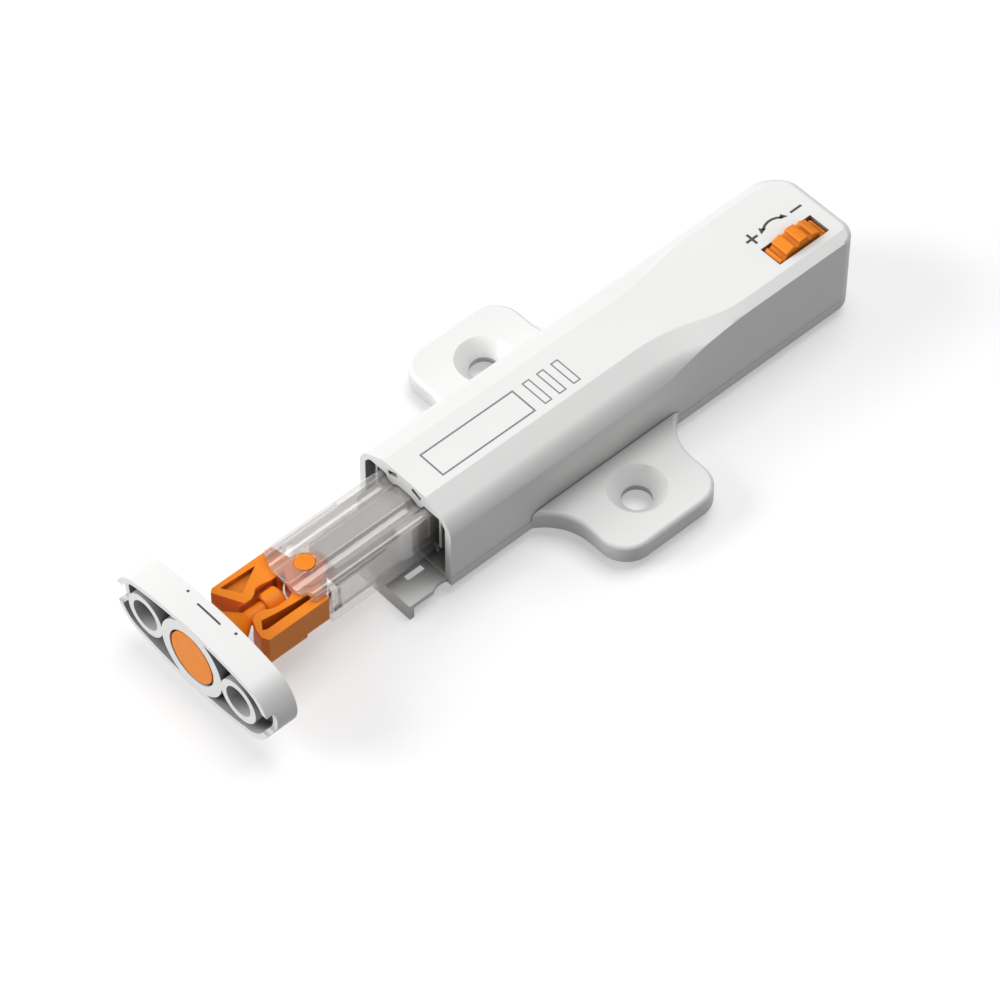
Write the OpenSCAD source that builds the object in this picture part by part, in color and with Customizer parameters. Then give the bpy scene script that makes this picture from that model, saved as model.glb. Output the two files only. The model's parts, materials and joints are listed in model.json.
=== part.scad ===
// Push to open catch with a clear plunger, gripping jaws and a strike for the door.
// X runs along the catch towards the rear, Y across it, Z away from the cabinet side.
// The origin lies midway between the two screw holes, on the mounting face.

/* [Mounting] */
// Distance between the two screw holes
hole_spacing = 32; // [31.5:0.1:32.5]
// Diameter of each screw hole
hole_d = 4.5; // [4.2:0.1:4.8]
// Diameter of each countersink at the wing's top
sink_d = 8.9; // [8.4:0.1:9.2]
// Thickness of the screw wings
wing_t = 3.2; // [3:0.1:3.4]
// Distance from the middle to the outer edge of a wing
wing_y = 24; // [23.5:0.1:24.5]

/* [Housing] */
// Width of the housing
body_w = 19; // [19:0.1:19.4]
// Height of the housing above the mounting face
body_h = 14.9; // [14.8:0.1:15.2]
// Distance from the screw holes to the mouth
mouth_reach = 29.25; // [28.5:0.25:30]
// Distance from the screw holes to the rear face
rear_reach = 49.7; // [49.6:0.1:51]
// Half the width of the flat top beside the mouth
flat_w = 4.4; // [4.2:0.1:4.6]
// Radius of the two arcs of the S bend in which the shoulders step outwards
bend_r = 27; // [26:0.5:28]
// Radius of the rounded shoulder
shoulder_r = 3.8; // [3.6:0.1:4]

/* [Plunger] */
// Width of the clear sleeve
sleeve_w = 10.9; // [10.7:0.1:10.9]
// Radius of the upright pin on which the jaws turn
jaw_pin_r = 1.45; // [1.3:0.05:1.45]
// Length of the plunger's travel
stroke = 29; // [24:0.5:29]

/* [Strike] */
// Distance between the strike's two screw holes
strike_spacing = 19.54; // [19.3:0.1:19.8]
// Thickness of the strike
strike_t = 5; // [4.6:0.1:5.2]
// Radius of the stud's plug in the strike
plug_r = 4.25; // [4:0.05:4.3]

/* [Adjuster] */
// Radius over the wheel's ridges
wheel_r = 6.6; // [6.2:0.1:6.6]
// Number of ridges round the wheel
ridge_count = 15; // [13:1:17]

/* [Hidden] */
$fn = 64;

white = "#f1f1f0";
orange = "#f0811f";
clear = [0.86, 0.9, 0.93, 0.45];
steel = "#b9bcc0";
dark = "#8e8d8b";
pale = "#a9a8a6";

// Housing
side = body_w / 2;
mouth_x = -mouth_reach;
rear_x = rear_reach;
floor_t = 1.6;
facet_a = 26;
round_y = side - shoulder_r + 0.02;
round_z = body_h - (round_y + shoulder_r * sin(facet_a) - flat_w) * tan(facet_a)
    - shoulder_r * cos(facet_a);
step_x = 10;
// The S bend turns by the small angle of a 44-117-125 triangle and back.
bend_sin = 44 / 125;
bend_cos = 117 / 125;
bend_y = 7;
step_l = 2 * bend_r * bend_sin;
step_w = 2 * bend_r * (1 - bend_cos);
corner_r = 3;
rear_edge_r = 1.6;
cavity_x = 48.2;
cavity_y = 8.3;
roof_z = 12.5;
over = 1;

// Wings
flare_in = 7.5;
flare_out = 4.4;
flare_r = (flare_in * flare_in + flare_out * flare_out) / (2 * flare_out);
flare_a = asin(flare_in / flare_r);
waist_y = side + flare_in;
tip_l = 9.9;
tip_r = 4.5;
tip_y = wing_y - tip_r;
root_l = tip_l + flare_out;
wing_edge_r = 0.8;
seam = 0.08;

// Plunger
half_w = sleeve_w / 2;
sleeve_wall = 0.75;
sleeve_z = 3.6;
shoulder_z = 12.25;
edge_r = 0.65;
nose_x = -51.6;
wall_x = -47.3;
tail_x = 1;
pin_x = -47.4;

// Jaws and strike
jaw_top = 10.4;
jaw_step_z = 5.8;
jaw_low = 5.2;
jaw_half = 6;
knuckle_r = 2.9;
knuckle_gap = 0.3;
knuckle_z = 7.85;
knuckle_play = 0.15;
axis_z = 8.3;
strike_x = -67.7;
strike_back = strike_x + strike_t;

// Main spring and its rod
spring_z = 8.42;
spring_r = 1.45;
spring_wire = 0.22;
spring_turns = 20;
rod_r = 1;

// Latch
pivot_x = 12;
tip_x = -2;
lane_y = 1.33;
lane_w = 1.5;
arm_z = 1.75;
arm_t = 0.85;
track_x = tip_x - stroke - 1.2;
core_x = track_x - 1.7;
seat_x = core_x + 5.9;

// Wheel
wheel_x = 41.35;
wheel_z = 9.7;
wheel_y0 = -6.25;
wheel_y1 = -2.95;
crank_r = 3;
axle_r = 1.2;
post_x = tail_x + stroke + 2.8;

// Extrudes a (y, z) outline along X.
module run_x(x0, x1) {
    translate([x0, 0, 0]) rotate([90, 0, 90]) linear_extrude(x1 - x0) children();
}

// Extrudes an (x, z) outline along Y.
module run_y(y0, y1) {
    translate([0, y1, 0]) rotate([90, 0, 0]) linear_extrude(y1 - y0) children();
}

// Round bar along X.
module bar_x(r, x0, x1, y = 0, z = 0) {
    translate([x0, y, z]) rotate([0, 90, 0]) cylinder(r = r, h = x1 - x0);
}

// Round bar along Y.
module bar_y(r, y0, y1, x = 0, z = 0) {
    translate([x, y0, z]) rotate([-90, 0, 0]) cylinder(r = r, h = y1 - y0);
}

module both_sides() {
    children();
    mirror([0, 1, 0]) children();
}

// Closed outline from the points of its right half, mirrored about the middle.
module mirrored(points) {
    polygon(concat(points, [for (i = [len(points) - 1:-1:0]) [-points[i][0], points[i][1]]]));
}

// What a rounded edge takes away, with the edge at (0, top). The arc meets both faces
// at a slight angle.
module edge_profile(r, top) {
    in = 0.985 * r;
    difference() {
        translate([-in, top - in]) square(in + over);
        translate([-in, top - in]) circle(r = r);
    }
}

// Housing: the shoulder's outline, drawn once and led along the S bend.
module shoulder_profile() {
    wide = side + 4.5;
    difference() {
        polygon([
            [flat_w - over / tan(facet_a), body_h + over], [wide, body_h + over],
            [wide, round_z], [round_y, round_z],
            [round_y + shoulder_r * sin(facet_a), round_z + shoulder_r * cos(facet_a)]
        ]);
        translate([round_y, round_z]) circle(r = shoulder_r);
    }
}

// Turns its children by the bend's angle about a centre.
module at_bend(x, y) {
    multmatrix([[bend_cos, -bend_sin, 0, x], [bend_sin, bend_cos, 0, y], [0, 0, 1, 0]]) children();
}

module shoulder_cut() {
    far = 60;
    turn = 30;
    near_y = bend_y + bend_r;
    far_y = bend_y + step_w - bend_r;
    run_x(mouth_x - over, step_x) shoulder_profile();
    intersection() {
        translate([step_x, near_y, 0]) rotate([0, 0, -90])
            rotate_extrude(angle = turn) translate([near_y, 0]) mirror([1, 0]) shoulder_profile();
        at_bend(step_x, near_y) translate([-far, -far, 0]) cube(far);
    }
    intersection() {
        translate([step_x + step_l, far_y, 0]) rotate([0, 0, 90])
            rotate_extrude(angle = turn) translate([bend_r - bend_y, 0]) shoulder_profile();
        at_bend(step_x + step_l, far_y) cube(far);
    }
    run_x(step_x + step_l, rear_x + over) translate([step_w, 0]) shoulder_profile();
}

// On the left the shoulder only steepens, along a ridge that comes out of it at a slant.
module left_shoulder_cut() {
    ramp_x = 16;
    ramp_end = 28;
    slant = 0.15;
    difference() {
        run_x(mouth_x - over, rear_x + over) shoulder_profile();
        multmatrix([[1, 0, 0, 0], [slant, 1, 0, -slant * ramp_end], [0, 0, 1, 0]])
            run_x(ramp_x, ramp_end) ridge_profile();
        run_x(ramp_end, rear_x + 2 * over) ridge_profile();
    }
}

module ridge_profile() {
    edge_y = 6;
    foot = 2.28;
    polygon([
        [edge_y - 2, body_h + 2], [edge_y + foot, body_h - foot], [edge_y + 1, body_h - 3.9],
        [edge_y - 3, body_h - 3.9], [edge_y - 3, body_h + 2]
    ]);
}

module body_plan() {
    flat_x = rear_x - corner_r;
    translate([mouth_x, -side]) square([flat_x - mouth_x, body_w]);
    translate([flat_x - over, corner_r - side]) square([corner_r + over, body_w - 2 * corner_r]);
    for (s = [-1, 1]) translate([flat_x, s * (side - corner_r)]) circle(r = corner_r);
}

module rear_edge_cut() {
    corner_y = side - corner_r;
    run_y(-corner_y, corner_y) translate([rear_x, 0]) edge_profile(rear_edge_r, body_h);
    both_sides()
        translate([rear_x - corner_r, corner_y, 0])
            rotate_extrude(angle = 90) translate([corner_r, 0]) edge_profile(rear_edge_r, body_h);
}

// The mouth's outline, with two ridges that run in the sleeve's valleys.
module cavity_profile() {
    mirrored([
        [1.4, 12.15], [2.5, 11.5], [3.3, 11.5], [4, roof_z], [7, roof_z], [7.6, 12.2],
        [cavity_y, 11.2], [cavity_y, 0]
    ]);
}

module housing() {
    window_x = 36.4;
    window_l = 9.9;
    window_y = -6.6;
    window_w = 3.95;
    boss_y = -6.45;
    color(white) {
        difference() {
            translate([0, 0, floor_t]) linear_extrude(body_h - floor_t) body_plan();
            mirror([0, 1, 0]) shoulder_cut();
            left_shoulder_cut();
            rear_edge_cut();
            run_x(mouth_x - over, cavity_x) cavity_profile();
            both_sides()
                run_x(mouth_x - over, mouth_x + 4)
                    translate([2.45, 13.65]) rotate(-22) square([1.9, 0.75], center = true);
            translate([window_x, window_y, roof_z - 2])
                cube([window_l, window_w, body_h - roof_z + 2 + over]);
            bar_y(wheel_r + 0.1, window_y, window_y + window_w, wheel_x, wheel_z);
        }
        // Guide ribs beside the sleeve
        both_sides() run_x(mouth_x + 0.6, 31) translate([6.4, 5.4]) square([0.5, roof_z - 5.3]);
        // Stops that the sleeve's lugs meet
        both_sides() run_x(-2.7, -1.1) translate([5.75, 6]) square([cavity_y - 5.65, 3]);
        // Boss that holds the wheel's axle
        difference() {
            bar_y(2.6, -cavity_y - 0.1, boss_y, wheel_x, wheel_z);
            bar_y(axle_r, -cavity_y - over, boss_y + over, wheel_x, wheel_z);
        }
    }
}

// Base plate: outline of one wing, waisted between its root and its round tip.
module wing_plan() {
    difference() {
        translate([-root_l, side + seam]) square([2 * root_l, flare_in - seam]);
        for (s = [-1, 1]) translate([s * (tip_l + flare_r), waist_y]) circle(r = flare_r);
    }
    translate([-tip_l, waist_y]) square([2 * tip_l, tip_y - waist_y]);
    translate([tip_r - tip_l, tip_y - over]) square([2 * (tip_l - tip_r), tip_r + over]);
    for (s = [-1, 1]) translate([s * (tip_l - tip_r), tip_y]) circle(r = tip_r);
}

module wing_edge_cut() {
    run_x(tip_r - tip_l, tip_l - tip_r) translate([wing_y, 0]) edge_profile(wing_edge_r, wing_t);
    for (s = [0, 1]) mirror([s, 0, 0]) {
        translate([tip_l - tip_r, tip_y, 0])
            rotate_extrude(angle = 90) translate([tip_r, 0]) edge_profile(wing_edge_r, wing_t);
        run_y(waist_y, tip_y) translate([tip_l, 0]) edge_profile(wing_edge_r, wing_t);
        translate([tip_l + flare_r, waist_y, 0]) rotate([0, 0, 180])
            rotate_extrude(angle = flare_a)
                translate([flare_r, 0]) mirror([1, 0]) edge_profile(wing_edge_r, wing_t);
    }
}

module tongue_plan() {
    front_x = -36.5;
    root_y = 11.4;
    difference() {
        translate([front_x, -9]) square([mouth_x - front_x + over, 18]);
        for (s = [-1, 1]) {
            translate([-30.3, s * root_y]) circle(r = 3);
            translate([-33.55, s * 4.65 - 0.7]) square([3.5, 1.4]);
        }
    }
}

module screw_hole() {
    sink_r = sink_d / 2;
    hole_r = hole_d / 2;
    depth = sink_r - hole_r;
    translate([0, 0, -over]) cylinder(r = hole_r, h = wing_t + 2 * over);
    translate([0, 0, wing_t - depth]) cylinder(r1 = hole_r, r2 = sink_r + over, h = depth + over);
}

module base_plate() {
    lip_low = -2;
    color(white) difference() {
        union() {
            translate([mouth_x, -side - seam, 0])
                cube([rear_x - corner_r - mouth_x, body_w + 2 * seam, floor_t]);
            linear_extrude(floor_t) body_plan();
            both_sides() difference() {
                linear_extrude(wing_t) wing_plan();
                wing_edge_cut();
            }
            linear_extrude(0.95) tongue_plan();
            translate([-36.5, -9, lip_low]) cube([0.85, 18, 0.95 - lip_low]);
            // Rails under the sleeve
            both_sides() translate([-27.5, 4, floor_t - 0.1]) cube([58, 1, sleeve_z - floor_t - 0.05]);
            // Ribs that guide the adjusting slide
            translate([34, 4.75, floor_t - 0.1]) cube([12, 0.8, 2]);
            translate([36.5, -2.85 - 0.6, floor_t - 0.1]) cube([2, 0.6, 0.9]);
        }
        for (s = [-1, 1]) translate([0, s * hole_spacing / 2, 0]) screw_hole();
        translate([pivot_x, 0, 0.6]) cylinder(r = 1, h = 2);
    }
}

// Sleeve: square tube whose roof is folded like a hat.
module sleeve_outer() {
    mirrored([
        [1.4, 11.95], [2.15, 11.3], [3.3, 11.3], [4.2, shoulder_z], [half_w - edge_r, shoulder_z],
        [half_w - edge_r, shoulder_z - edge_r], [half_w, shoulder_z - edge_r], [half_w, sleeve_z]
    ]);
    for (s = [-1, 1]) translate([s * (half_w - edge_r), shoulder_z - edge_r]) circle(r = edge_r);
}

module sleeve_inner() {
    wall_y = half_w - sleeve_wall;
    mirrored([
        [1.1, 11.2], [1.85, 10.55], [3.6, 10.55], [4.4, 11.45], [wall_y, 11.45],
        [wall_y, sleeve_z + 0.8]
    ]);
}

module plunger_sleeve() {
    nose_r = 10.8;
    slit_l = 14.2;
    wall_y = half_w - sleeve_wall;
    color(clear) difference() {
        union() {
            run_x(wall_x, tail_x) sleeve_outer();
            intersection() {
                run_x(nose_x - over, wall_x + over) sleeve_outer();
                translate([nose_x + nose_r, 0, 10.5]) cylinder(r = nose_r, h = 4);
            }
            translate([-50.3, -3.6, sleeve_z]) cube([4, 7.2, 0.8]);
            both_sides() translate([-1, half_w - 0.1, 6]) cube([2, 0.8, 3]);
        }
        run_x(nose_x - over, tail_x + over) sleeve_inner();
        // Slits that part the roof from the side walls
        both_sides() translate([nose_x - over, wall_y - 0.1, 11]) cube([slit_l + over, 2, 0.6]);
        // Windows in the side walls
        both_sides() translate([-46.9, wall_y - 0.1, 5.6]) cube([1.3, 2, 4.4]);
        // Openings in the floor, over the cam block and in front of it
        translate([core_x - 0.1, -3.4, 0]) cube([tail_x - core_x + over, 6.8, 5]);
        translate([-45.3, -1.7, 0]) cube([12, 3.4, 5]);
        translate([pin_x, 0, 0]) cylinder(r = jaw_pin_r + 0.1, h = 14);
    }
}

module plunger_core() {
    front_x = pin_x + knuckle_r + 0.3;
    wall_y = half_w - sleeve_wall;
    low_z = 6.35;
    color(pale) difference() {
        union() {
            translate([core_x, 0.05 - wall_y, low_z]) cube([8, 2 * wall_y - 0.1, 4.15]);
            // Nose that follows the middle fold of the sleeve's roof
            run_x(front_x, core_x + 8)
                mirrored([[0.95, 11.1], [1.65, 10.45], [2.9, 10.45], [2.9, low_z]]);
        }
        bar_x(rod_r + 0.15, core_x + over, core_x + 9, 0, spring_z);
        bar_x(spring_r + spring_wire + 0.12, seat_x, seat_x + 3, 0, spring_z);
    }
}

// Cam block: the follower's tip runs round the island in its looped track.
module cam_block() {
    low_z = 3.1;
    track_z = 4.9;
    track_y = lane_y + lane_w / 2;
    isle_y = lane_y - lane_w / 2;
    isle_x = track_x + 3.7;
    wall_y = half_w - sleeve_wall;
    color(dark) difference() {
        union() {
            translate([core_x, -3.3, low_z]) cube([tail_x - core_x - 0.1, 6.6, 1.5]);
            translate([core_x, 0.05 - wall_y, 4.45]) cube([tail_x - core_x - 0.1, 2 * wall_y - 0.1, 1.85]);
        }
        translate([0, 0, low_z - over]) linear_extrude(track_z - low_z + over) difference() {
            translate([track_x, -track_y]) square([-0.8 - track_x, 2 * track_y]);
            polygon([
                [-4, 0], [-6, isle_y], [isle_x + 1.5, isle_y], [isle_x, 0.5], [isle_x + 1.2, 0],
                [isle_x, -0.5], [isle_x + 1.5, -isle_y], [-6, -isle_y]
            ]);
        }
    }
}

module jaw_pin() {
    color(orange) {
        translate([pin_x, 0, 3.2]) cylinder(r = jaw_pin_r, h = 12 - 3.2);
        translate([pin_x, 0, 3]) cylinder(r = 2.1, h = 0.6);
    }
}

// Each jaw has half of the knuckle and clears the other jaw's half.
// The bore along X lets the stud's head pass while the jaws are open.
module jaw(outline, pocket, pocket_depth, knuckle_low) {
    knuckle_high = knuckle_z - knuckle_play;
    other_z = knuckle_low ? knuckle_high : jaw_step_z - over;
    other_h = knuckle_low ? 4 : knuckle_z - other_z;
    own_z = knuckle_low ? jaw_step_z : knuckle_z;
    own_h = knuckle_low ? knuckle_high - jaw_step_z : jaw_top - knuckle_z;
    color(orange) difference() {
        union() {
            difference() {
                translate([0, 0, jaw_low]) linear_extrude(jaw_top - jaw_low) polygon(outline);
                translate([pin_x, 0, other_z]) cylinder(r = knuckle_r + knuckle_gap, h = other_h);
                translate([pin_x, 0, jaw_low - over])
                    cylinder(r = knuckle_r + knuckle_gap, h = jaw_step_z - jaw_low + over);
            }
            translate([pin_x, 0, own_z]) cylinder(r = knuckle_r, h = own_h);
        }
        translate([pin_x, 0, 0]) cylinder(r = jaw_pin_r + 0.07, h = 14);
        translate([-52.3, -jaw_half - over, 0]) cube([8, 2 * (jaw_half + over), jaw_step_z]);
        bar_x(1.95, -61, -54, 0, axis_z);
        bar_x(2.45, -55.5, -51, 0, axis_z);
        translate([0, 0, jaw_top - pocket_depth]) linear_extrude(pocket_depth + over) polygon(pocket);
    }
}

module jaw_left() {
    jaw([[-59, jaw_half], [-59.6, 5.5], [-57.33, 1], [-56.2, 1], [-55.31, 1.38], [-54.68, 1.99],
        [-53.74, 2.02], [-52.22, 1.67], [-49.4, 1.67], [-47.6, 2.7], [-48.3, jaw_half]],
        [[-58.14, 5.27], [-52.12, 5], [-56.46, 2.57]], 0.9, false);
}

module jaw_right() {
    jaw([[-58.9, -jaw_half], [-59.4, -4.9], [-59.06, -3.43], [-58.32, -1.76], [-57.24, -1.29],
        [-56.12, -1.57], [-55.21, -2.1], [-54.29, -2.35], [-52.2, -2.3], [-51.2, -1.8],
        [-49.4, -1.67], [-47.6, -2.7], [-48.3, -jaw_half]],
        [[-57.57, -2.74], [-58.49, -4.09], [-57.9, -4.4], [-50, -4.4], [-50, -3.6], [-52.3, -3.44],
        [-55.19, -3.14]], 2.4, true);
}

// Points of one wire ring square to a helix that runs along its own axis.
function ring(r, wire, pitch, turn, sides) = [
    for (i = [0:sides - 1])
        let (a = 360 * i / sides, rise = atan(pitch / (2 * PI * r)), t = 360 * turn)
        let (out = r + wire * cos(a), up = wire * sin(a))
        [out * cos(t) + up * sin(rise) * sin(t), out * sin(t) - up * sin(rise) * cos(t),
            turn * pitch + up * cos(rise)]
];

// Helical spring whose end turns start and stop flat inside its length.
module coil(r, wire, length, turns, per_turn, sides) {
    pitch = (length - 2 * wire) / turns;
    steps = turns * per_turn;
    points = [for (k = [0:steps]) each ring(r, wire, pitch, k / per_turn, sides)];
    walls = [for (k = [0:steps - 1]) for (i = [0:sides - 1])
        let (a = k * sides + i, b = k * sides + (i + 1) % sides)
        each [[a, b, b + sides], [a, b + sides, a + sides]]];
    first = [[for (i = [sides - 1:-1:0]) i]];
    last = [[for (i = [0:sides - 1]) steps * sides + i]];
    translate([0, 0, wire]) polyhedron(points, concat(walls, first, last));
}

module jaw_spring() {
    color(steel) translate([pin_x, 0, 4.5]) coil(1.9, 0.2, 1.2, 2, 18, 6);
}

// Strike: long round-ended plate whose long sides bow outwards.
module bowed_plan(inset) {
    end_y = 10.55;
    end_r = 5.55 - inset;
    bow_r = 54.5 - inset;
    rise = sqrt(pow(bow_r - end_r, 2) - end_y * end_y);
    meet_y = end_y * bow_r / (bow_r - end_r);
    intersection() {
        translate([0, -rise]) circle(r = bow_r, $fn = 256);
        translate([0, rise]) circle(r = bow_r, $fn = 256);
        square([2 * meet_y, 20], center = true);
    }
    for (s = [-1, 1]) translate([s * end_y, 0]) circle(r = end_r);
}

module strike_plate() {
    hollow_x = strike_back - 2.2;
    rim = 0.95;
    boss_y = strike_spacing / 2;
    color(white) difference() {
        union() {
            difference() {
                run_x(strike_x, strike_back) translate([0, axis_z]) bowed_plan(0);
                run_x(strike_x - over, hollow_x) translate([0, axis_z]) bowed_plan(rim);
            }
            intersection() {
                run_x(strike_x, strike_back) translate([0, axis_z]) bowed_plan(0.2);
                union() {
                    bar_x(6.3, strike_x, strike_back, 0, axis_z);
                    for (s = [-1, 1]) bar_x(3.6, strike_x, strike_back, s * boss_y, axis_z);
                }
            }
        }
        bar_x(plug_r + 0.05, strike_x - over, strike_back + over, 0, axis_z);
        bar_x(plug_r + 0.35, strike_x - over, strike_x + 0.8, 0, axis_z);
        for (s = [-1, 1]) {
            bar_x(2.5, strike_x - over, strike_x + 2, s * boss_y, axis_z);
            bar_x(1.8, strike_x - over, strike_back + over, s * boss_y, axis_z);
            translate([strike_back - 1.6, s * boss_y, axis_z]) rotate([0, 90, 0])
                cylinder(r1 = 1.8, r2 = 4.4, h = 2.6);
            // Notch in the rim at each end
            translate([strike_x - over, s * 15.6 - 1.2, axis_z - 2]) cube([1.5 + over, 2.4, 4]);
        }
    }
}

module strike_stud() {
    color(orange) translate([0, 0, axis_z]) rotate([0, 90, 0]) rotate_extrude()
        polygon([
            [0, strike_x], [plug_r, strike_x], [plug_r, strike_back], [4.6, strike_back],
            [4.6, strike_back + 0.5], [4.2, strike_back + 0.5], [1.1, -58], [1.1, -54.9],
            [1.5, -54.9], [1.85, -54.5], [1.85, -52.3], [1.4, -51.9], [0, -51.9]
        ]);
}

module adjusting_wheel() {
    groove = 0.65;
    ridge_w = 1.8;
    color(orange) {
        difference() {
            run_y(wheel_y0, wheel_y1) translate([wheel_x, wheel_z]) union() {
                circle(r = wheel_r - groove);
                intersection() {
                    circle(r = wheel_r);
                    for (i = [0:ridge_count - 1])
                        rotate(360 * i / ridge_count - 2)
                            translate([-ridge_w / 2, 0]) square([ridge_w, wheel_r + over]);
                }
            }
            bar_y(axle_r + 0.06, wheel_y0 - over, wheel_y1 + over, wheel_x, wheel_z);
        }
        // Crank pin that moves the adjusting slide
        bar_y(1.2, wheel_y1 - 0.2, -1.3, wheel_x, wheel_z - crank_r);
    }
}

module wheel_axle() {
    color(steel) bar_y(axle_r, -cavity_y, wheel_y1, wheel_x, wheel_z);
}

module detent_spring() {
    color(steel) run_y(-5.8, -3.6) polygon([
        [46.6, floor_t], [46.6, 1.9], [44.4, 1.9], [42.3, 2.5], [41.7, 3], [41, 3], [40.4, 2.5],
        [36, 1.95], [36, floor_t], [40.3, 2.2], [41.2, 2.7], [41.5, 2.7], [42.4, 2.2],
        [44.3, floor_t]
    ]);
}

module adjusting_slide() {
    plate_x = 45.6;
    pin_slot = 2.6;
    pin_low = wheel_z - crank_r;
    color(dark) difference() {
        union() {
            translate([post_x, -2.5, 1.8]) cube([1.5, 7, 9.6]);
            translate([post_x + over, -2.6, 1.8]) cube([plate_x - post_x - over, 1.3, 9.4]);
            translate([post_x + over, -2.6, 1.8]) cube([plate_x - post_x - over, 7.1, 0.9]);
            translate([post_x + over, 3.4, 1.8]) cube([plate_x - post_x - over, 1.1, 7]);
        }
        translate([wheel_x - pin_slot / 2, -3, pin_low - 1.45]) cube([pin_slot, 2, 3.2]);
        bar_x(rod_r, post_x - over, post_x + 3, 0, spring_z);
    }
}

module end_buffer() {
    color(dark) translate([post_x - 0.9, -2.4, 2.4]) cube([0.9, 4.8, 3.4]);
}

module spring_rod() {
    color(steel) bar_x(rod_r, -1, post_x + 1.5, 0, spring_z);
}

module spring_washer() {
    color(steel) difference() {
        bar_x(2, post_x - 0.6, post_x, 0, spring_z);
        bar_x(rod_r + 0.05, post_x - over, post_x + over, 0, spring_z);
    }
}

module main_spring() {
    front_x = seat_x + 0.05;
    length = post_x - 0.65 - front_x;
    color(steel) translate([front_x, 0, spring_z]) rotate([0, 90, 0])
        coil(spring_r, spring_wire, length, spring_turns, 14, 6);
}

module latch_follower() {
    arm_l = norm([pivot_x - tip_x, lane_y]);
    color(steel) translate([pivot_x, 0, arm_z])
        rotate([0, 0, 180 + asin(lane_y / arm_l)]) difference() {
            union() {
                cylinder(r = 2.2, h = arm_t);
                translate([arm_l, 0, 0]) cylinder(r = 1, h = arm_t);
                linear_extrude(arm_t)
                    polygon([[0.3, -1.6], [0.3, 1.6], [arm_l + 0.2, 0.8], [arm_l + 0.2, -0.8]]);
            }
            translate([0, 0, -over]) cylinder(r = 1.06, h = arm_t + 2 * over);
            translate([arm_l, 0, -over]) cylinder(r = 0.5, h = arm_t + 2 * over);
        }
}

module follower_pin() {
    color(steel) translate([tip_x, -lane_y, arm_z]) cylinder(r = 0.5, h = 2.85);
}

module follower_pivot() {
    color(steel) translate([pivot_x, 0, 0.6]) {
        cylinder(r = 1, h = 2.2);
        translate([0, 0, 2.1]) cylinder(r = 1.7, h = 0.3);
    }
}

housing();
base_plate();
plunger_sleeve();
plunger_core();
cam_block();
jaw_pin();
jaw_left();
jaw_right();
jaw_spring();
strike_plate();
strike_stud();
adjusting_wheel();
wheel_axle();
detent_spring();
adjusting_slide();
end_buffer();
spring_rod();
spring_washer();
main_spring();
latch_follower();
follower_pin();
follower_pivot();
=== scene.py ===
# %% [markdown]
# # A push to open catch
# The catch sits inside a cupboard. A push on the door lets its clear plunger spring out, and the
# jaws on the plunger's front hold an orange stud on the door's strike. The solids come packed as a
# fixed frame, so this lesson only dresses them: it rounds their edges, adds the printed marks and
# strips of painted shade, and gives each piece the finish of the real plastic or steel. The catch
# lies with its strike towards -X and its left wing towards +Y, and sizes are given in millimetres.

# %% Load the frame
import json
import math

import bmesh
import bpy
from mathutils import Matrix, Vector


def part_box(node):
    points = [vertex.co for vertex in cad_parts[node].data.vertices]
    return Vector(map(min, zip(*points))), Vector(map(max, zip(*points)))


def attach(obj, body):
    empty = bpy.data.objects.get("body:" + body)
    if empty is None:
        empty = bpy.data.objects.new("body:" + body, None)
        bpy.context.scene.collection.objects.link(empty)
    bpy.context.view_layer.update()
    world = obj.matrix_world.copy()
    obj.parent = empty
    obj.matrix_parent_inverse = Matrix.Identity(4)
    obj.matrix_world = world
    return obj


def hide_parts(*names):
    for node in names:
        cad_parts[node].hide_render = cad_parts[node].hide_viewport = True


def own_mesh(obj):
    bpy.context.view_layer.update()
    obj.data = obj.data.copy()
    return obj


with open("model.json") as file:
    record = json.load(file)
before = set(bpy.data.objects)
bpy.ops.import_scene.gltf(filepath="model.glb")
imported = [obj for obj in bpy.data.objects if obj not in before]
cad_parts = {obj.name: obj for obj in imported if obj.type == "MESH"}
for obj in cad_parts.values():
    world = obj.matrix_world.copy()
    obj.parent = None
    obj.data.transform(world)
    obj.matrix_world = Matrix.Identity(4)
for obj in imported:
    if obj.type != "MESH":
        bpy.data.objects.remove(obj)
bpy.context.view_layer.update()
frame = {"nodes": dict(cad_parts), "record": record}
nodes = frame["nodes"]
MM = 0.001
print("pieces in the frame:", len(nodes))

# %% [markdown]
# ## Where the camera stands
# A product photograph like this one is taken from far away with a long lens, so that lines that
# run the same way stay nearly parallel. The camera's place is given as a direction round the
# object, a distance, and how far the object's origin lies from the middle of the picture.

# %% Camera
AZIMUTH = math.radians(-42.317)
ELEVATION = math.radians(51.304)
ROLL = math.radians(0.105)
DISTANCE = 665.112 * MM
SIDEWAYS = 8.498 * MM
UPWARDS = 8.952 * MM
LENS_MM = 168.16

back = Vector((math.sin(AZIMUTH) * math.cos(ELEVATION),
               -math.cos(AZIMUTH) * math.cos(ELEVATION),
               math.sin(ELEVATION)))
right = Vector((math.cos(AZIMUTH), math.sin(AZIMUTH), 0))
up = back.cross(right)
right, up = (math.cos(ROLL) * right + math.sin(ROLL) * up,
             math.cos(ROLL) * up - math.sin(ROLL) * right)

camera = bpy.data.objects.new("camera", bpy.data.cameras.new("camera"))
bpy.context.collection.objects.link(camera)
camera.data.lens = LENS_MM
camera.data.sensor_width = 36
camera.data.clip_start = 0.01
turned = Matrix((right, up, back)).transposed().to_4x4()
place = back * DISTANCE - right * SIDEWAYS - up * UPWARDS
camera.matrix_world = Matrix.Translation(place) @ turned
bpy.context.scene.camera = camera
print("camera at", [round(v / MM, 1) for v in place], "mm")

# %% [markdown]
# ## Colour and light
# Colours are read off a screen as hex values, which are stored with a curve (sRGB). The renderer
# works in plain amounts of light, so one function undoes that curve. The view is kept standard,
# so that a white plastic comes out as white as the photograph has it.

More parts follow.
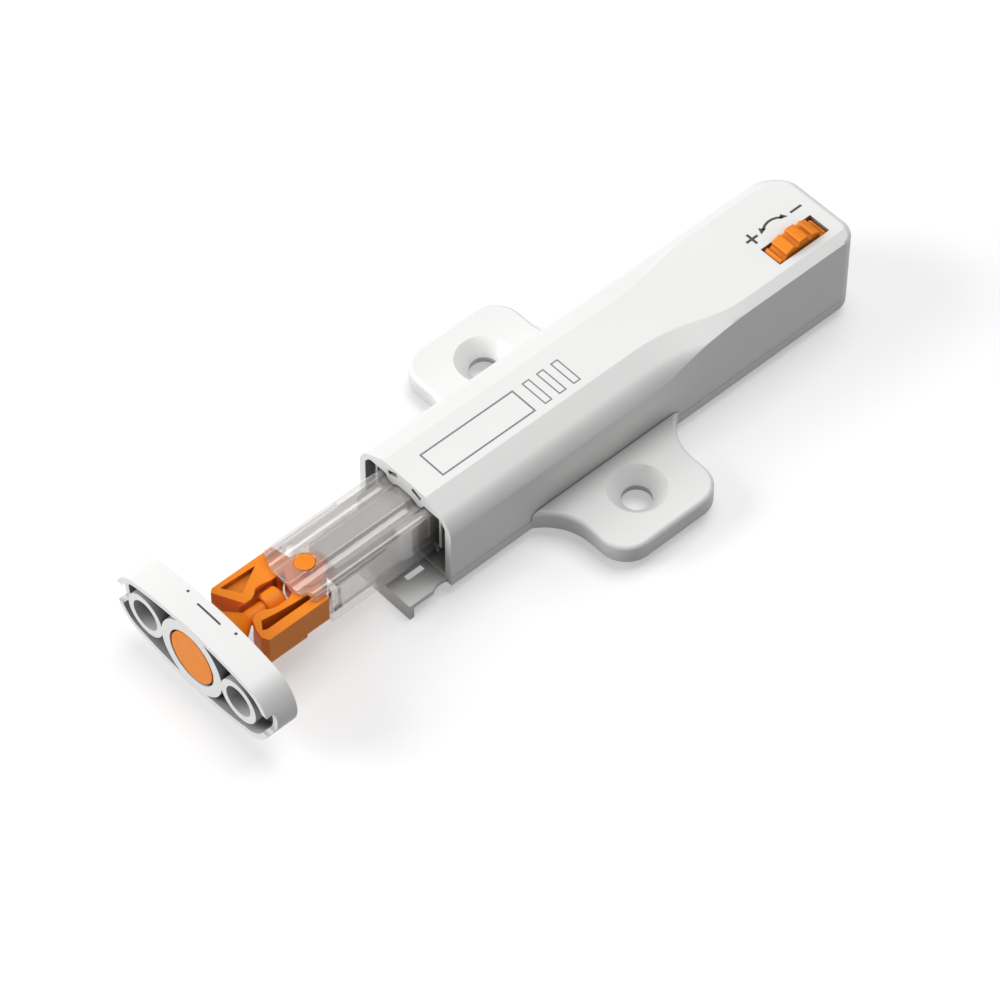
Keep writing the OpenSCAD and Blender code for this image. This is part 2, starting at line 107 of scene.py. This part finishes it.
# %% Colours
def linear(hex_value):
    """The linear colour of an sRGB hex value such as f2f2f0."""
    parts = [int(hex_value[i:i + 2], 16) / 255 for i in (0, 2, 4)]
    return [p / 12.92 if p <= 0.04045 else ((p + 0.055) / 1.055) ** 2.4 for p in parts] + [1]


bpy.context.scene.view_settings.view_transform = "Standard"
print("a white plastic reflects", round(linear("f2f2f0")[0], 2), "of the light")

# %% [markdown]
# ## A node at a time
# A material is a small network of nodes. This one function adds a node, sets its values and joins
# its inputs, so that each material below reads like a recipe.

# %% Adding a node
def add(tree, kind, settings=None, **inputs):
    """Adds a node. settings are the node's own, inputs are values or the output of another node."""
    n = tree.nodes.new("ShaderNode" + kind)
    for name, value in (settings or {}).items():
        setattr(n, name, value)
    for name, value in inputs.items():
        socket = n.inputs[int(name[1:])] if name[0] == "_" else n.inputs[name.replace("_", " ")]
        if isinstance(value, bpy.types.NodeSocket):
            tree.links.new(value, socket)
        else:
            socket.default_value = value
    return n


def new_material(name):
    """An empty material, its node tree and its output node."""
    material = bpy.data.materials.new(name)
    material.use_nodes = True
    tree = material.node_tree
    tree.nodes.clear()
    out = tree.nodes.new("ShaderNodeOutputMaterial")
    return material, tree, out


def finish_surface(tree, out, shader):
    """Joins the shader to the material's output."""
    tree.links.new(shader.outputs[0], out.inputs["Surface"])


# %% [markdown]
# ## Moulded ABS, white
# The housing, the base and the strike are injection moulded ABS. The mould is spark eroded very
# finely, which leaves a satin skin with soft highlights. A slow unevenness in the roughness is
# what hands and the mould's cooling leave behind. Where walls stand close together little light
# gets in, so the ambient occlusion node paints shade into the colour of such nooks.

# %% White ABS
def moulded_abs(name, hex_value, roughness):
    """Satin moulded ABS."""
    material, tree, out = new_material(name)
    where = add(tree, "TexCoord")
    grain_mm = 0.22  # the real erosion pits are about 0.02 mm, too fine to show here
    grain = add(tree, "TexNoise", Vector=where.outputs["Object"], Scale=1 / (grain_mm * MM),
                Detail=3.0, Roughness=0.6)
    slow = add(tree, "TexNoise", Vector=where.outputs["Object"], Scale=1 / (14 * MM), Detail=2.0)
    rough = add(tree, "MapRange", Value=slow.outputs["Fac"], From_Min=0.3, From_Max=0.7,
                To_Min=roughness - 0.05, To_Max=roughness + 0.05)
    shade = add(tree, "Mix", {"data_type": "RGBA"}, Factor=slow.outputs["Fac"],
                _6=linear(hex_value), _7=linear("f4f4f3"))
    # painted shade: ambient occlusion darkens the colour where walls stand within 5 mm
    nook = add(tree, "AmbientOcclusion", {"samples": 6}, Distance=5.0 * MM)
    painted_nook_shade = add(tree, "MapRange", Value=nook.outputs["AO"], To_Min=0.1, To_Max=1.0)
    tone_with_painted_shade = add(tree, "Mix", {"data_type": "RGBA", "blend_type": "MULTIPLY"}, Factor=1.0,
               _6=shade.outputs[2], _7=painted_nook_shade.outputs[0])
    bump = add(tree, "Bump", Height=grain.outputs["Fac"], Strength=0.06, Distance=0.03 * MM)
    skin = add(tree, "BsdfPrincipled", Base_Color=tone_with_painted_shade.outputs[2], Roughness=rough.outputs[0],
               IOR=1.53, Normal=bump.outputs[0])
    finish_surface(tree, out, skin)
    return material


white_abs = moulded_abs("moulded_abs_white", "efefee", 0.42)
print("made", white_abs.name)

# %% [markdown]
# ## Moulded acetal
# The jaws, their pin, the stud and the wheel are orange acetal, a slippery plastic that is a
# little translucent: light sinks in by a fraction of a millimetre, which warms the shaded sides.
# The blocks in the plunger and the housing are grey acetal. The ambient occlusion node paints shade
# into the colour of each piece's nooks, counting only the piece's own walls, so that the clear
# sleeve doesn't darken what lies under it.

# %% Acetal
def moulded_acetal(name, hex_value, roughness, gloss, depth_mm):
    """Smooth moulded acetal that lets a little light in."""
    material, tree, out = new_material(name)
    where = add(tree, "TexCoord")
    slow = add(tree, "TexNoise", Vector=where.outputs["Object"], Scale=1 / (2.5 * MM), Detail=3.0)
    rough = add(tree, "MapRange", Value=slow.outputs["Fac"], From_Min=0.3, From_Max=0.7,
                To_Min=roughness - 0.06, To_Max=roughness + 0.06)
    bump = add(tree, "Bump", Height=slow.outputs["Fac"], Strength=0.05, Distance=0.05 * MM)
    # painted shade: ambient occlusion darkens the colour in the piece's own nooks
    nook = add(tree, "AmbientOcclusion", {"samples": 6, "only_local": True}, Distance=1.8 * MM)
    painted_nook_shade = add(tree, "MapRange", Value=nook.outputs["AO"], To_Min=0.32, To_Max=1.0)
    tone_with_painted_shade = add(tree, "Mix", {"data_type": "RGBA", "blend_type": "MULTIPLY"}, Factor=1.0,
               _6=linear(hex_value), _7=painted_nook_shade.outputs[0])
    skin = add(tree, "BsdfPrincipled", Base_Color=tone_with_painted_shade.outputs[2], Roughness=rough.outputs[0],
               IOR=1.48, Specular_IOR_Level=gloss, Normal=bump.outputs[0])
    if depth_mm:
        skin.inputs["Subsurface Weight"].default_value = 0.15
        skin.inputs["Subsurface Radius"].default_value = (1.0, 0.4, 0.15)
        skin.inputs["Subsurface Scale"].default_value = depth_mm * MM
    finish_surface(tree, out, skin)
    return material


orange_acetal = moulded_acetal("moulded_acetal_orange", "fb8e1c", 0.45, 0.3, 0.3)
grey_acetal = moulded_acetal("moulded_acetal_grey", "9b9a98", 0.42, 0.5, 0)
light_grey_acetal = moulded_acetal("moulded_acetal_light_grey", "d0cfcd", 0.4, 0.5, 0)
print("made", orange_acetal.name, grey_acetal.name, light_grey_acetal.name)

# %% [markdown]
# ## Clear polycarbonate
# The plunger's sleeve is clear polycarbonate with walls of 0.75 mm, too thin to bend what is seen
# through them by much. So most light passes straight on. At an outer face about a third of it is
# scattered by the moulded skin as a white haze, some of it back and some of it onwards. Fresnel's
# law for an IOR of 1.585 says how much is mirrored: little where the wall is seen head on, much at
# a grazing angle. Seen from inside the plastic the law would mirror nearly everything, so faces
# that are seen from behind neither scatter nor mirror. The bevel node rounds the edges for the
# highlights alone. Where other faces stand close, the ambient occlusion node paints shade into
# the haze's colour, so that it greys over the blocks inside.

# %% Clear polycarbonate
def clear_polycarbonate(name):
    """Thin clear polycarbonate: mirrors and scatters a little, and lets the rest through."""
    haze_share = 0.32
    faces_of_a_wall = 1.9  # the second face mirrors too, a little less than the first
    material, tree, out = new_material(name)
    where = add(tree, "TexCoord")
    edges = add(tree, "Bevel", {"samples": 6}, Radius=0.3 * MM)
    wave = add(tree, "TexNoise", Vector=where.outputs["Object"], Scale=1 / (6 * MM), Detail=1.0)
    bump = add(tree, "Bump", Height=wave.outputs["Fac"], Strength=0.1, Distance=0.1 * MM,
               Normal=edges.outputs[0])
    outer = add(tree, "Math", {"operation": "SUBTRACT"}, _0=1.0,
                _1=add(tree, "NewGeometry").outputs["Backfacing"])
    cloudy = add(tree, "Math", {"operation": "MULTIPLY"}, _0=outer.outputs[0],
                 _1=haze_share)
    straight = add(tree, "BsdfTransparent", Color=linear("faf9f8"))
    # painted shade: ambient occlusion greys the haze where other faces stand within 5 mm
    nook = add(tree, "AmbientOcclusion", {"samples": 4}, Distance=5 * MM)
    painted_nook_shade = add(tree, "MapRange", Value=nook.outputs["AO"], To_Min=0.25, To_Max=0.97)
    skin = add(tree, "BsdfPrincipled", Base_Color=painted_nook_shade.outputs[0], Roughness=0.3, IOR=1.585,
               Normal=bump.outputs[0])
    lit_through = add(tree, "BsdfTranslucent", Color=painted_nook_shade.outputs[0])
    haze = add(tree, "MixShader", _0=0.4, _1=skin.outputs[0], _2=lit_through.outputs[0])
    wall = add(tree, "MixShader", _0=cloudy.outputs[0], _1=straight.outputs[0], _2=haze.outputs[0])
    mirror = add(tree, "Fresnel", IOR=1.585, Normal=bump.outputs[0])
    both = add(tree, "Math", {"operation": "MULTIPLY", "use_clamp": True}, _0=mirror.outputs[0],
               _1=faces_of_a_wall)
    share = add(tree, "Math", {"operation": "MULTIPLY"}, _0=both.outputs[0], _1=outer.outputs[0])
    gloss = add(tree, "BsdfAnisotropic", Color=linear("ffffff"), Roughness=0.1,
                Normal=bump.outputs[0])
    glazed = add(tree, "MixShader", _0=share.outputs[0], _1=wall.outputs[0], _2=gloss.outputs[0])
    finish_surface(tree, out, glazed)
    return material


clear_pc = clear_polycarbonate("clear_polycarbonate")
print("made", clear_pc.name)

# %% [markdown]
# ## Steel and rubber
# The springs, the rod and the pins are drawn steel wire and stamped strip. Drawing leaves faint
# lines along the wire, which make the highlight a little wider. A fine mottle in the roughness
# stands for them. The buffer is soft black rubber.

# %% Steel and rubber
def drawn_steel(name):
    """Bright drawn steel."""
    material, tree, out = new_material(name)
    where = add(tree, "TexCoord")
    mottle_mm = 0.15  # the lines are finer than a hair, too fine to show here
    mottle = add(tree, "TexNoise", Vector=where.outputs["Object"], Scale=1 / (mottle_mm * MM))
    rough = add(tree, "MapRange", Value=mottle.outputs["Fac"], To_Min=0.2, To_Max=0.38)
    skin = add(tree, "BsdfPrincipled", Base_Color=linear("c6c8ca"), Metallic=1.0,
               Roughness=rough.outputs[0])
    finish_surface(tree, out, skin)
    return material


def soft_rubber(name):
    """Matt black rubber."""
    material, tree, out = new_material(name)
    where = add(tree, "TexCoord")
    grain = add(tree, "TexNoise", Vector=where.outputs["Object"], Scale=1 / (0.3 * MM))
    bump = add(tree, "Bump", Height=grain.outputs["Fac"], Strength=0.2, Distance=0.05 * MM)
    skin = add(tree, "BsdfPrincipled", Base_Color=linear("1d1d1e"), Roughness=0.75, IOR=1.52,
               Normal=bump.outputs[0])
    finish_surface(tree, out, skin)
    return material


spring_steel = drawn_steel("drawn_spring_steel")
black_rubber = soft_rubber("moulded_rubber_black")
print("made", spring_steel.name, black_rubber.name)

# %% [markdown]
# ## Who wears what
# The record says which material slot each node belongs to, so one table dresses all the solids.

# %% Dress the solids
finishes = {
    "white_abs": white_abs,
    "clear_pc": clear_pc,
    "pale_pom": light_grey_acetal,
    "dark_pom": grey_acetal,
    "orange_pom": orange_acetal,
    "black_rubber": black_rubber,
    "spring_steel": spring_steel,
}
for entry in frame["record"]["subparts"]:
    mesh = nodes[entry["node"]].data
    for i in range(max(1, len(mesh.materials))):
        if i < len(mesh.materials):
            mesh.materials[i] = finishes[entry["material_slot"]]
        else:
            mesh.materials.append(finishes[entry["material_slot"]])

# %% [markdown]
# ## Rounded edges
# No moulded edge is truly sharp: the mould's corners have a radius of one or two tenths of a
# millimetre, and that thin bright line along an edge is what makes plastic look real. Each solid
# in the table below is copied, its flat faces are joined again from their triangles, and a bevel
# runs round every edge that turns outwards by more than a set angle. Edges that turn inwards stay
# sharp and show as dark creases, apart from the valleys of the wheel, which are rounded as well.
# Normals that are weighted by area keep flat faces flat. The copy then stands for its node.

# %% Softening a solid
def softened(node, width_mm, turn_deg):
    """A copy of the node's solid with rounded edges, which stands for the node."""
    mesh = nodes[node].data.copy()
    mesh.name = node + "_soft"
    work = bmesh.new()
    work.from_mesh(mesh)
    bmesh.ops.remove_doubles(work, verts=work.verts, dist=0.001 * MM)
    bmesh.ops.dissolve_limit(work, angle_limit=math.radians(0.6), verts=work.verts,
                             edges=work.edges, delimit={"NORMAL"})
    for face in work.faces:
        face.smooth = True
    rounded = work.edges.layers.float.new("bevel_weight_edge")
    for edge in work.edges:
        turn = math.degrees(edge.calc_face_angle_signed()) if edge.is_manifold else 0
        if turn > turn_deg or (node == "adjusting_wheel" and turn < -turn_deg):
            edge[rounded] = 1.0
        elif turn < -turn_deg:
            edge.smooth = False
    work.to_mesh(mesh)
    work.free()
    piece = bpy.data.objects.new(node + "_soft", mesh)
    bpy.context.collection.objects.link(piece)
    bevel = piece.modifiers.new("rounded edges", "BEVEL")
    bevel.width = width_mm * MM
    bevel.segments = 2
    bevel.limit_method = "WEIGHT"
    bevel.harden_normals = True
    bevel.miter_outer = "MITER_ARC"
    piece.modifiers.new("flat faces shaded flat", "WEIGHTED_NORMAL").keep_sharp = True
    record = frame["record"]
    body = next(b for b, held in record["behaviour"]["bodies"].items() if node in held)
    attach(piece, body)
    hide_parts(node)
    print(node, len(mesh.polygons), "faces before its bevel")
    return piece


# For each solid the width of its bevel in mm and the turn in degrees from which an edge gets it
ROUNDS = {
    "housing": (0.2, 11),
    "base_plate": (0.15, 25),
    "strike_plate": (0.12, 30),
    "jaw_left": (0.22, 25),
    "jaw_right": (0.22, 25),
    "adjusting_wheel": (0.2, 25),
    "strike_stud": (0.08, 25),
    "jaw_pin": (0.08, 30),
    "plunger_sleeve": (0.12, 12),
}
soft = {node: softened(node, width, turn) for node, (width, turn) in ROUNDS.items()}

# %% [markdown]
# ## The lid's rear corner
# Seen from above, the lid's rear left corner is round. The solid leaves a small point there, where
# the slanted shoulder meets the rolled rear edge. A cone with a slope of 45 degrees takes the
# point off the housing's copy. It lies flush with the upper half of the shoulder on one side and
# touches the roll on the other. The shoulder's lower half is rounder than the cone, and the cut
# ends there in a step of 0.15 mm. The cutter is the ring of space outside the cone, a quarter of
# a turn long, and is thrown away afterwards.

# %% Rear corner
LID = 14.9  # height of the lid
LID_LEFT = 6.0  # where the lid ends at the left shoulder
LID_REAR = 48.76  # where a slope that touches the rear roll would meet the lid
CORNER_RADIUS = 3.4  # of the cone, at the lid
ABOVE, BELOW, BEYOND = 1, 6, 14  # how far the cutter reaches over and under the lid, and outwards
STEPS = 24
CONE_X = LID_REAR - CORNER_RADIUS
CONE_Y = LID_LEFT - CORNER_RADIUS

cutter_mesh = bpy.data.meshes.new("corner_cutter")
work = bmesh.new()
profile = [(CORNER_RADIUS - ABOVE, LID + ABOVE), (CORNER_RADIUS + BELOW, LID - BELOW),
           (BEYOND, LID - BELOW), (BEYOND, LID + ABOVE)]
rings = []
for i in range(STEPS + 1):
    a = math.radians(90 / STEPS * i)
    rings.append([work.verts.new(((CONE_X + r * math.cos(a)) * MM,
                                  (CONE_Y + r * math.sin(a)) * MM, z * MM)) for r, z in profile])
for ring, following in zip(rings, rings[1:]):
    for i in range(len(profile)):
        work.faces.new((ring[i], ring[i - 1], following[i - 1], following[i]))
work.faces.new(rings[0])
work.faces.new(reversed(rings[-1]))
bmesh.ops.recalc_face_normals(work, faces=work.faces)
work.to_mesh(cutter_mesh)
work.free()
cutter = bpy.data.objects.new("corner_cutter", cutter_mesh)
bpy.context.collection.objects.link(cutter)

cover = soft["housing"]
cut = cover.modifiers.new("corner taken off", "BOOLEAN")
cut.operation = "DIFFERENCE"
cut.object = cutter
cover.modifiers.move(2, 1)  # after the bevel and before the weighted normals
depsgraph = bpy.context.evaluated_depsgraph_get()
cover.data = bpy.data.meshes.new_from_object(cover.evaluated_get(depsgraph),
                                             preserve_all_data_layers=True, depsgraph=depsgraph)
cover.modifiers.clear()
bpy.data.objects.remove(cutter)
print("the housing has", len(cover.data.polygons), "faces with its corner taken off")

# %% [markdown]
# ## The main spring
# The long spring is pressed together as the plunger goes in. A copy of its solid stands for it.

# %% Main spring
coil = bpy.data.objects.new("main_spring_coil", nodes["main_spring"].data.copy())
bpy.context.collection.objects.link(coil)
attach(coil, "base")
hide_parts("main_spring")
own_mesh(coil)

# %% [markdown]
# ## Printed marks and painted shade
# The adjusting wheel is turned towards a plus or a minus, with an arrow between them. Such marks
# are engraved a tenth of a millimetre deep and filled with dark ink. The lid carries a plain framed
# panel with three framed bars, whose lines are engraved grooves: mid grey strips paint the shade
# that falls in them. On the strike's long side a short dark line paints the shade in a slot, and
# two dots paint the shade in the corners of a shallow recess. All of them are thin strips that lie
# in the surface.

# %% Marks
MARK_SUNK = 0.03  # how deep a strip reaches into the plastic
MARK_THICK = 0.045  # how thick it is, so its top stands 0.015 mm proud
BOW_RADIUS, BOW_CENTRE, STRIKE_MIDDLE = 54.5, 47.8, 8.3  # the strike's bowed long side

# this dark grey is ink on the wheel's marks and painted shade on the strike's strips
ink_and_painted_shade, tree, out = new_material("ink_and_painted_shade_grey")
finish_surface(tree, out, add(tree, "BsdfPrincipled", Base_Color=linear("4d4d4d"), Roughness=0.6))
# painted shade: this mid grey stands for the shade in the panel's engraved grooves
painted_groove_shade, tree, out = new_material("painted_groove_shade_grey")
finish_surface(tree, out, add(tree, "BsdfPrincipled", Base_Color=linear("858585"), Roughness=0.6))


def strips(name, outlines, height, material, body):
    """Thin strips from closed (x, y) outlines in mm. height(y) is the surface that they lie on."""
    corners = {}
    rings = [[corners.setdefault((round(x, 3), round(y, 3)), len(corners)) for x, y in outline]
             for outline in outlines]
    count = len(corners)
    points = [(x * MM, y * MM, (height(y) - MARK_SUNK + lift) * MM)
              for lift in (0, MARK_THICK) for x, y in corners]
    sides = [side for ring in rings for side in zip(ring, ring[1:] + ring[:1])]
    faces = [ring[::-1] for ring in rings] + [[i + count for i in ring] for ring in rings]
    faces += [(i, j, j + count, i + count) for i, j in sides if (j, i) not in sides]
    mesh = bpy.data.meshes.new(name)
    mesh.from_pydata(points, [], faces)
    mesh.materials.append(material)
    piece = bpy.data.objects.new(name, mesh)
    bpy.context.collection.objects.link(piece)
    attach(piece, body)


def bar(x0, x1, y0, y1):
    """The outline of a rectangle."""
    return [(x0, y0), (x1, y0), (x1, y1), (x0, y1)]


def framed(x0, x1, y0, y1, line):
    """The outlines of a frame's four sides, mitred at the corners."""
    a, b, c, d = x0 + line, x1 - line, y0 + line, y1 - line
    return [[(x0, y0), (x1, y0), (b, c), (a, c)], [(x1, y0), (x1, y1), (b, d), (b, c)],
            [(x1, y1), (x0, y1), (a, d), (b, d)], [(x0, y1), (x0, y0), (a, c), (a, d)]]


def lid(y):
    """The height of the housing's flat lid."""
    return LID


def bow(y):
    """The height of the strike's bowed long side."""
    return STRIKE_MIDDLE + math.sqrt(BOW_RADIUS ** 2 - y ** 2) - BOW_CENTRE


# painted shade: strips where the panel's engraved grooves lie in shade
panel = framed(-25.0, -7.6, -3.2, 1.75, 0.26)
for i in range(3):
    panel += framed(-5.9 + 2.7 * i, -4.5 + 2.7 * i, -3.2, 1.75, 0.2)
strips("panel_painted_groove_shade", panel, lid, painted_groove_shade, "base")

arc = [math.radians(a) for a in range(44, 137, 8)]
middle_x, middle_y = 41.1, -2.3
band = [(middle_x + r * math.cos(a), middle_y + r * math.sin(a))
        for r, angles in [(2.95, arc), (2.55, reversed(arc))] for a in angles]
heads = [[(38.5, -0.65), (39.75, -0.3), (38.95, 0.5)], [(43.8, -0.7), (43.2, 0.35), (42.5, -0.3)]]
plus = [bar(35.75, 37.95, -0.62, -0.2), bar(36.64, 37.06, -1.5, -0.62),
        bar(36.64, 37.06, -0.2, 0.7)]
minus = [bar(44.5, 46.7, -0.62, -0.24)]
strips("wheel_marks", [band] + heads + plus + minus, lid, ink_and_painted_shade, "base")

# painted shade: a dark line where a slot lies in shade, and two dots at a shallow recess's corners
painted_strike_shade = [bar(-64.34, -64.04, -2.33 + 0.8 * i, -1.53 + 0.8 * i) for i in range(6)]
painted_strike_shade += [bar(-63.86, -63.46, 4.86, 5.26), bar(-63.75, -63.35, -5.0, -4.6)]
strips("strike_painted_shade", painted_strike_shade, bow, ink_and_painted_shade, "strike")
print("marks: a panel with three bars, a plus, an arrow, a minus, and", len(painted_strike_shade),
      "strips on the strike")

# %% [markdown]
# ## The floor and the light
# In a catalogue picture the product is often lit in a grey room and cut out onto white
# afterwards. Here the floor glows a little like a light table, which keeps its shadows pale, but
# it gives no light back to the catch, so that the right flank stays grey. A low, wide soft box at
# the front left is the main light. A larger one overhead opens the shadows, and stands a little
# to the rear so that the sleeve's folds and the lid's edges mirror it towards the camera.

# %% Floor and lights
low = min(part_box(n)[0][2] for n in nodes)
floor_mesh = bpy.data.meshes.new("floor")
reach = 3.0  # metres from the middle to each side
floor_mesh.from_pydata([(-reach, -reach, low), (reach, -reach, low), (reach, reach, low),
                        (-reach, reach, low)], [], [(0, 1, 2, 3)])
floor = bpy.data.objects.new("floor", floor_mesh)
bpy.context.collection.objects.link(floor)
material, tree, out = new_material("painted_backdrop_white")
paint = add(tree, "BsdfPrincipled", Base_Color=linear("d8d8d8"), Roughness=0.9)
paint.inputs["Emission Color"].default_value = (1, 1, 1, 1)
paint.inputs["Emission Strength"].default_value = 0.4
finish_surface(tree, out, paint)
floor_mesh.materials.append(material)
floor.visible_diffuse = False


def soft_box(name, position, size, watts):
    """A square area light that looks at the frame's origin. Lengths are in metres."""
    light = bpy.data.lights.new(name, "AREA")
    light.size = size
    light.energy = watts
    lamp = bpy.data.objects.new(name, light)
    bpy.context.collection.objects.link(lamp)
    lamp.location = position
    lamp.rotation_euler = Vector(position).to_track_quat("Z", "Y").to_euler()
    return lamp


soft_box("key", (-0.8, 0.6, 0.5), 0.7, 10.4)
soft_box("top", (0.3, 0.0, 1.15), 0.9, 7.7)

world = bpy.data.worlds.new("studio")
bpy.context.scene.world = world
world.use_nodes = True
world.node_tree.nodes["Background"].inputs[0].default_value = (1, 1, 1, 1)
world.node_tree.nodes["Background"].inputs[1].default_value = 0.22
print("floor at", round(low / MM, 2), "mm")

# %% [markdown]
# ## The end

# %% End
print("the catch is dressed")
